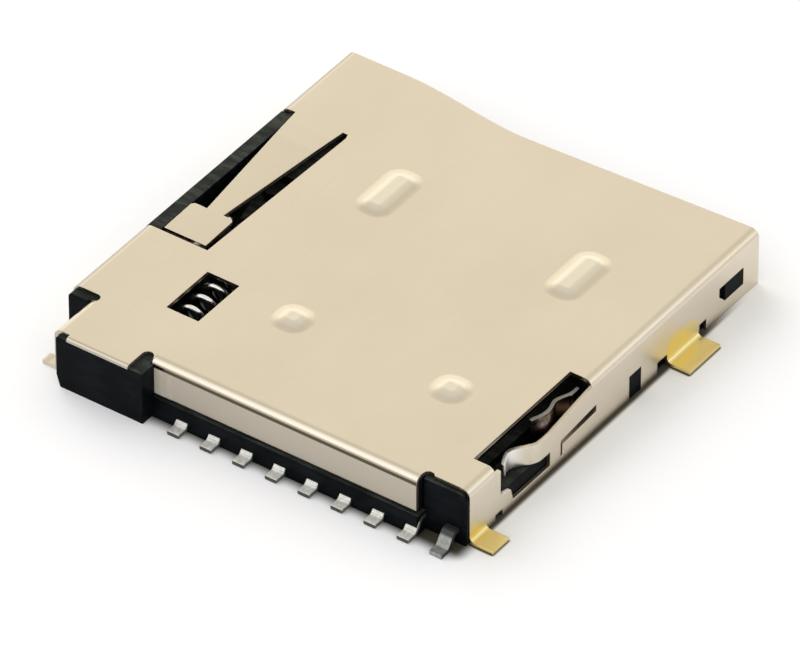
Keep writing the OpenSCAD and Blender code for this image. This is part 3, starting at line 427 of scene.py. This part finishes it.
# A strip's middle line by distance from its tail end: level on the board, an eased rise to the root, level,
# an eased rise to the contact point, then a parabola down. Its width eases down towards the tip
def contactMesh(name, number):
    shape = contactShape
    low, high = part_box(f"signal_contact_{number}")
    length = (high.y - low.y) / mm - 2 * shape["endDepth"]
    half = shape["thickness"] / 2
    top = high.z / mm - half
    along = np.linspace(0, length, shape["rings"])
    rise = (along / shape["tailEnd"] - shape["tailLevel"]) / (1 - shape["tailLevel"])
    z = half + (shape["rootHeight"] - half) * ease(rise)
    z += (top - shape["rootHeight"]) * ease((along - shape["rootEnd"]) / (shape["peak"] - shape["rootEnd"]))
    z -= shape["tipDrop"] * (np.clip(along - shape["peak"], 0, None) / (length - shape["peak"])) ** 2
    middle = np.full_like(along, (low.x + high.x) / 2 / mm)
    centres = np.stack([middle, low.y / mm + shape["endDepth"] + along, z], -1)
    narrow = 1 - (1 - shape["tipWidth"]) * ease((along - shape["rootEnd"]) / (length - shape["rootEnd"]))
    path, growth = roundEnds(centres, shape["endDepth"], shape["endKeep"])
    growth[:, 0] *= np.pad(narrow, (len(path) - len(along)) // 2, mode="edge")
    across, upward = flatFrame(path, (1, 0, 0))
    section = barSection((high.x - low.x) / mm, shape["thickness"], shape["corner"])
    return carry(name, section * mm, path * mm, across, upward, growth)


contactLook = {
    "copper": (0.70, 0.52, 0.33), "copperDull": (0.602, 0.4472, 0.2838), "gold": (0.80, 0.58, 0.22),
    "tin": (0.64, 0.64, 0.60), "tinBright": (0.832, 0.832, 0.78), "tinFilm": 0.6,
    # Painted shade on the tails' sheared ends and sides, and behind the front wall
    "tailShade": (0.06, 0.06, 0.05), "sideShare": 0.85, "shearedFace": (0.6, 0.85),
    "endTop": (0.16 * mm, 0.20 * mm), "wallFace": (-6.95 * mm, -6.89 * mm),
    "tinEdge": (-5.95 * mm, -5.85 * mm), "goldEdge": (-3.5 * mm, -3.4 * mm),
    "blobs": (0.12 * mm, 0.12 * mm, 0.12 * mm), "waver": 0.2 * mm, "tinSpan": (0.35, 0.7),
    "streaks": (0.02 * mm, 0.5 * mm, 0.3 * mm), "streakHeight": 0.0005 * mm, "blobHeight": 0.0015 * mm,
    "blobShare": 0.6, "copperSpan": (0.3, 0.7),
    "roughness": 0.26, "blobRoughness": 0.1, "tinRoughness": 0.2, "softEdge": 0.01 * mm
}


# Copper alloy with gold towards the contact point and a dull tin film towards the tail
def platedStrip():
    look = contactLook
    material, field, shader = startMaterial("platedStrip")
    spot = field.make("ShaderNodeTexCoord", out="Object")
    y, z = spot.parts()[1:]
    faceX, faceY = field.make("ShaderNodeNewGeometry", out="True Normal").parts()[:2]
    blobs = spot.noise(look["blobs"], detail=3.0, roughness=0.6)
    streaks = spot.noise(look["streaks"], detail=2.0)
    along = y + (blobs - 0.5) * look["waver"]
    tinned = 1 - along.step(*look["tinEdge"])
    gilt = along.step(*look["goldEdge"])
    bare = (blobs * look["blobShare"] + streaks * (1 - look["blobShare"])).step(*look["copperSpan"])
    bare = bare.mix(colour(look["copperDull"]), colour(look["copper"]))
    tin = blobs.step(*look["tinSpan"]).mix(colour(look["tin"]), colour(look["tinBright"]))
    # Painted shade on the sheared ends and sides of the tails, and on what lies behind the front wall
    tailShade = (-faceY).step(*look["shearedFace"]) * (1 - z.step(*look["endTop"]))
    tailShade = tailShade.most(abs(faceX).step(*look["shearedFace"]) * look["sideShare"])
    tin = tailShade.most(y.step(*look["wallFace"])).mix(tin, colour(look["tailShade"]))
    metal = tinned.mix(gilt.mix(bare, colour(look["gold"])), tin)
    rough = look["roughness"] + blobs * look["blobRoughness"] + tinned * look["tinRoughness"]
    height = streaks * look["streakHeight"] + blobs * tinned * look["blobHeight"]
    connect(shader, Base_Color=metal, Roughness=rough, Metallic=1 - tinned * look["tinFilm"],
            Normal=field.relief(look["softEdge"], height))
    return material


stripMetal = platedStrip()
for number in range(1, contactShape["count"] + 1):
    name = f"contactStrip{number}"
    strip = contactMesh(name, number)
    place(name, strip, stripMetal, f"signal_contact_{number}", "connector")
print("contacts made")

# Detect contact: bare copper alloy strip with a tinned tail
detectLook = {
    # The copper and the tin are darkened as painted shade
    "copper": (0.10, 0.05, 0.035), "patchHighlight": (1.0, 0.82, 0.69), "patchHighlightMatte": 0.4,
    "tin": (0.24, 0.24, 0.23), "tinBright": (0.36, 0.36, 0.345), "tinShade": (0.04, 0.04, 0.04),
    "tinEdge": (-6.35 * mm, -6.25 * mm), "tinShadeHeight": (0.36 * mm, 0.44 * mm), "shearedFace": (0.6, 0.85),
    # Painted highlight where the card's edge runs on it: how far from the rear end it starts and weakens, and
    # how high up
    "highlightFrom": (0.90 * mm, 1.40 * mm), "highlightEnd": (1.55 * mm, 1.85 * mm), "highlightLow": (0.92 * mm, 1.12 * mm),
    "highlightDrop": 0.8, "highlightBlobs": 0.7, "highlightSpan": (0.2, 0.7),
    "rimHighlight": (0.50, 0.46, 0.41), "rimDepth": (0.03 * mm, 0.009 * mm), "rimHighlightMatte": 0.75,
    "streaks": (0.3 * mm, 0.6 * mm, 0.02 * mm), "streakHeight": 0.0004 * mm, "blobHeight": 0.0008 * mm,
    "roughness": 0.22, "streakRoughness": 0.12, "tinRoughness": 0.08, "softEdge": 0.015 * mm
}


# Copper alloy darkened as painted shade, with a painted highlight patch, a painted highlight along its upper
# rim, and a tinned tail that is also darkened as painted shade
def copperStrip():
    look = detectLook
    material, field, shader = startMaterial("copperStrip")
    spot = field.make("ShaderNodeTexCoord", out="Object")
    y, z = spot.parts()[1:]
    faceX = field.make("ShaderNodeNewGeometry", out="True Normal").parts()[0]
    blobs = spot.noise(contactLook["blobs"], detail=3.0, roughness=0.6)
    streaks = spot.noise(look["streaks"], detail=2.0)
    tinned = 1 - (y + (blobs - 0.5) * contactLook["waver"]).step(*look["tinEdge"])
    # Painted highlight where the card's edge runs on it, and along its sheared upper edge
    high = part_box("detect_contact")[1]
    fromRear = high.y - y
    patches = (streaks * (1 - look["highlightBlobs"]) + blobs * look["highlightBlobs"]).step(*look["highlightSpan"])
    highlightMask = fromRear.step(*look["highlightFrom"]) * (1 - fromRear.step(*look["highlightEnd"]) * look["highlightDrop"])
    highlightMask = highlightMask * z.step(*look["highlightLow"]) * patches
    copper = highlightMask.mix(colour(look["copper"]), colour(look["patchHighlight"]))
    # Painted highlight along the upper rim
    rimHighlight = z.step(*[high.z - depth for depth in look["rimDepth"]])
    copper = rimHighlight.mix(copper, colour(look["rimHighlight"]))
    tin = blobs.step(*contactLook["tinSpan"]).mix(colour(look["tin"]), colour(look["tinBright"]))
    # Painted shade on the tail's rise and its sides
    shadedTin = z.step(*look["tinShadeHeight"]).most(abs(faceX).step(*look["shearedFace"]))
    tin = shadedTin.mix(tin, colour(look["tinShade"]))
    film = (rimHighlight * look["rimHighlightMatte"]).most(tinned * contactLook["tinFilm"]).most(highlightMask * look["patchHighlightMatte"])
    rough = look["roughness"] + streaks * look["streakRoughness"] + tinned * look["tinRoughness"]
    height = streaks * look["streakHeight"] + blobs * tinned * look["blobHeight"]
    connect(shader, Base_Color=tinned.mix(copper, tin), Roughness=rough, Metallic=1 - film,
            Normal=field.relief(look["softEdge"], height))
    return material


dress("detect_contact", copperStrip())
print("detect contact dressed")

# Ejection spring and cam follower: drawn steel wire
wireLook = {
    "steel": (0.96, 0.96, 0.95), "dimmer": (0.80, 0.80, 0.79), "bayShade": (0.10, 0.10, 0.10),
    # Size of a die line along the wire and, as a share, round it
    "dieLines": (0.6 * mm, 0.03, 1.0), "lineShare": 0.6, "lineHeight": 0.0006 * mm, "toneSpan": (0.3, 0.65),
    "bayShadeHeight": (1.30 * mm, 1.52 * mm), "roughness": 0.18, "roughnessSpan": 0.14
}


# Bright wire with fine lines along it
def drawnWire():
    look = wireLook
    material, field, shader = startMaterial("drawnWire", Metallic=1.0)
    run = field.make("ShaderNodeUVMap", {"uv_map": "run"})
    lines = run.noise(look["dieLines"], detail=3.0, roughness=0.6)
    spot = field.make("ShaderNodeTexCoord", out="Object")
    blobs = spot.noise(contactLook["blobs"], detail=2.0)
    tone = (lines * look["lineShare"] + blobs * (1 - look["lineShare"])).step(*look["toneSpan"])
    # Painted shade darkens the wire down in its bay
    outOfShade = spot.parts()[2].step(*look["bayShadeHeight"])
    metal = outOfShade.mix(colour(look["bayShade"]), tone.mix(colour(look["dimmer"]), colour(look["steel"])))
    rough = look["roughness"] + blobs * look["roughnessSpan"]
    bump = field.make("ShaderNodeBump", {}, {"Height": lines * look["lineHeight"], "Distance": 1.0})
    connect(shader, Base_Color=metal, Roughness=rough, Normal=bump)
    return material


wireMetal = drawnWire()
springShape = {
    # Lengths in mm
    "wire": 0.16, "pitch": 0.56, "closedLead": 0.168, "travel": 1.9,
    "closedTurns": 1.2, "startTurn": 0.33, "sides": 14, "ringsPerTurn": 36
}


# A coil along Y: the angle grows evenly, and the advance per turn is small in the closed end coils.
# Its across vector points out from the coil's axis, and its upward vector is square to that and to the wire
def coilMesh():
    shape = springShape
    low, high = [np.array(corner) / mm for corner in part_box("eject_spring")]
    middle, length, wire = (low + high) / 2, high[1] - low[1], shape["wire"]
    radius = (high[2] - low[2]) / 2 - wire / 2
    turns = length / shape["pitch"] + shape["closedTurns"]
    rise, closed = length - wire, shape["closedTurns"]
    edge = closed * shape["closedLead"]
    turned = np.linspace(0, turns, int(turns * shape["ringsPerTurn"]))
    y = np.interp(turned, [0, closed, turns - closed, turns], [0, edge, rise - edge, rise])
    angle = (turned + shape["startTurn"]) * 2 * math.pi
    out = np.stack([np.cos(angle), np.zeros_like(angle), -np.sin(angle)], -1)
    centres = out * radius
    centres[:, 1] = y + wire / 2
    centres += [middle[0], low[1], middle[2]]
    upward = np.cross(unit(np.gradient(centres, axis=0)), out)
    section = roundSection(wire / 2, shape["sides"])
    growth = np.ones((len(turned), 2))
    return carry("ejectCoil", section * mm, centres * mm, out, upward, growth), low, length


coil, coilLow, coilLength = coilMesh()
ejectCoil = place("ejectCoil", coil, wireMetal, "eject_spring", "connector")
coilLow[1] * mm
(coilLength - springShape["travel"]) / coilLength
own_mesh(ejectCoil)

followerShape = {
    # Lengths in mm
    "wire": 0.28, "bend": 0.20, "trackPin": 0.23, "endDepth": 0.05,
    "endKeep": (0.62, 0.62), "sides": 28, "arcSteps": 14
}


# A wire bent into a flat U in the YZ plane: pin, quarter circle, straight, quarter circle, pin
def followerMesh():
    shape = followerShape
    low, high = [np.array(corner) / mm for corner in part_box("cam_follower_rod")]
    radius, bend, depth = shape["wire"] / 2, shape["bend"], shape["endDepth"]
    x, top = (low[0] + high[0]) / 2, high[2] - radius
    backY, frontY = high[1] - radius, low[1] + radius
    turn = np.linspace(0, math.pi / 2, shape["arcSteps"])
    deepest = low[2] + depth
    shallow = top - bend - shape["trackPin"]
    rearArc = np.stack([backY - bend + bend * np.cos(turn), top - bend + bend * np.sin(turn)], -1)
    frontArc = np.stack([frontY + bend - bend * np.sin(turn), top - bend + bend * np.cos(turn)], -1)
    flat = np.concatenate([[[backY, shallow]], rearArc, frontArc, [[frontY, deepest]]])
    centres = np.insert(flat, 0, x, axis=1)
    path, growth = roundEnds(centres, depth, shape["endKeep"])
    across, upward = flatFrame(path, (1, 0, 0))
    section = roundSection(radius, shape["sides"])
    return carry("followerWire", section * mm, path * mm, across, upward, growth)


place("followerWire", followerMesh(), wireMetal, "cam_follower_rod", "follower")
print("wire pieces made")

# Table, light and camera
studio = {
    "tableSize": 8.0, "tableColour": (0.79, 0.79, 0.81), "tableGlow": 0.10, "tableRoughness": 0.8,
    # Room: strength, fall upwards, dark skirting, the lobe at the back left and the patch at the front left
    "sky": 1.31, "fall": 0.52, "fallHeight": (0.42, 0.79), "horizonShade": 0.8, "horizonHeight": (0.08, 0.30),
    "lobeAim": (-0.57, 0.82, 0.0), "lobeSpan": (0.30, 0.72),
    "warm": (1.0, 0.95, 0.84), "warmSpan": (-0.2, 0.6),
    "frontAim": (-0.516, -0.465, 0.719), "frontSpan": (0.90, 0.98), "frontGlow": 0.6,
    "keyPlace": (-0.62, 0.15, 0.44), "keyAim": (0, 0, 0), "keySize": 0.8, "keyPower": 3.0,
    # The part's outline on the board, each piece of it as left, right, front and rear
    "body": (-6.05 * mm, 7.05 * mm, -6.0 * mm, 6.9 * mm),
    "frontWall": (-3.4 * mm, 6.9 * mm, -6.95 * mm, -6.0 * mm),
    "rearFoot": (7.05 * mm, 7.77 * mm, 2.96 * mm, 4.40 * mm),
    "frontFoot": (7.05 * mm, 7.77 * mm, -6.49 * mm, -5.78 * mm),
    # Painted contact shadow line, and painted warm shade along it
    "line": (0.06, 0.05, 0.03), "lineReach": (0.066 * mm, 0.22 * mm), "lineFade": (4.6 * mm, 7.0 * mm),
    "footThinner": 2.0, "frontReach": (0.0, 0.5 * mm),
    "shade": (0.78, 0.78, 0.76), "shadeReach": (0.0, 2.2 * mm), "shadeSide": (6.95 * mm, 7.05 * mm)
}

table = bpy.data.meshes.new("table")
half = studio["tableSize"] / 2
corners = [(-half, -half, 0), (half, -half, 0), (half, half, 0), (-half, half, 0)]
table.from_pydata(corners, [], [(0, 1, 2, 3)])
tableTop = bpy.data.objects.new("table", table)
bpy.context.scene.collection.objects.link(tableTop)


# White board, with a painted contact shadow line and painted warm shade along the part's lower edges
def tableWhite():
    material, field, shader = startMaterial("tableWhite", Roughness=studio["tableRoughness"],
                                            Emission_Strength=studio["tableGlow"])
    x, y = field.make("ShaderNodeTexCoord", out="Object").parts()[:2]

    # Distance from a rectangle on the board
    def away(left, right, front, rear):
        outX, outY = (left - x).most(x - right).most(0.0), (front - y).most(y - rear).most(0.0)
        return (outX * outX + outY * outY) ** 0.5

    body = away(*studio["body"])
    feet = away(*studio["rearFoot"]).least(away(*studio["frontFoot"]))
    # Painted shadow: warm shade beside the right wall, and a dark contact line under the body, the feet and
    # the front wall
    shade = (1 - body.step(*studio["shadeReach"])) * x.step(*studio["shadeSide"])
    line = 1 - body.least(feet * studio["footThinner"]).step(*studio["lineReach"])
    front = 1 - away(*studio["frontWall"]).step(*studio["frontReach"])
    line = (line * (1 - y.step(*studio["lineFade"]))).most(front)
    board = shade.mix(colour(studio["tableColour"]), colour(studio["shade"]))
    board = line.mix(board, colour(studio["line"]))
    connect(shader, Base_Color=board, Emission_Color=line.mix(white, black))
    return material


table.materials.append(tableWhite())


# A white room, brighter low down than overhead, with a dark skirting that is missing at the back left, and
# a bright patch high up at the front left
def paintSky():
    world = bpy.data.worlds.new("studio")
    bpy.context.scene.world = world
    world.use_nodes = True
    field = Field(world.node_tree)
    direction = field.make("ShaderNodeTexCoord", out="Generated")
    height = direction.parts()[2]

    # How closely a direction points at an aim: 1 straight at it, -1 away from it
    def towards(aim):
        return direction.vector("DOT_PRODUCT", direction, unit(np.array(aim)).tolist(), out="Value")

    lobe = towards(studio["lobeAim"])
    skirting = (1 - height.step(*studio["horizonHeight"])) * (1 - lobe.step(*studio["lobeSpan"]))
    strength = studio["sky"] - height.step(*studio["fallHeight"]) * studio["fall"]
    strength = strength - skirting * studio["horizonShade"]
    strength = strength + towards(studio["frontAim"]).step(*studio["frontSpan"]) * studio["frontGlow"]
    warm = lobe.step(*studio["warmSpan"]).mix(white, colour(studio["warm"]))
    connect(world.node_tree.nodes["Background"], Color=warm, Strength=strength)


# A round soft lamp, turned so that it points at its aim
def softbox(name, position, aim, size, power):
    light = bpy.data.lights.new(name, "AREA")
    light.shape, light.size, light.energy = "DISK", size, power
    lamp = bpy.data.objects.new(name, light)
    bpy.context.scene.collection.objects.link(lamp)
    lamp.location = position
    away = np.array(position) - np.array(aim)
    tilt = math.atan2(math.hypot(away[0], away[1]), away[2])
    lamp.rotation_euler = (tilt, 0, math.atan2(away[0], -away[1]))
    return lamp


paintSky()
key = softbox("key", studio["keyPlace"], studio["keyAim"], studio["keySize"], studio["keyPower"])
# It shapes the shadows only: the metal mirrors the room, not the lamp
key.visible_glossy = False

# Angles in degrees, lens and sensor in mm, the rest in metres
view = {
    "azimuth": 35.391, "elevation": 38.746, "distance": 0.29659, "target": (0.000596, -0.000686, 0.0009),
    "lens": 483.94, "sensor": 36.0, "clip": (0.01, 20.0)
}
cameraData = bpy.data.cameras.new("camera")
camera = bpy.data.objects.new("camera", cameraData)
bpy.context.scene.collection.objects.link(camera)
cameraData.lens, cameraData.sensor_width = view["lens"], view["sensor"]
cameraData.clip_start, cameraData.clip_end = view["clip"]
turn, lift = math.radians(view["azimuth"]), math.radians(view["elevation"])
back = np.array([math.sin(turn) * math.cos(lift), -math.cos(turn) * math.cos(lift), math.sin(lift)])
camera.location = np.array(view["target"]) + back * view["distance"]
camera.rotation_euler = (math.pi / 2 - lift, 0, turn)
bpy.context.scene.camera = camera
bpy.context.scene.view_settings.view_transform = "Standard"
print("studio ready")
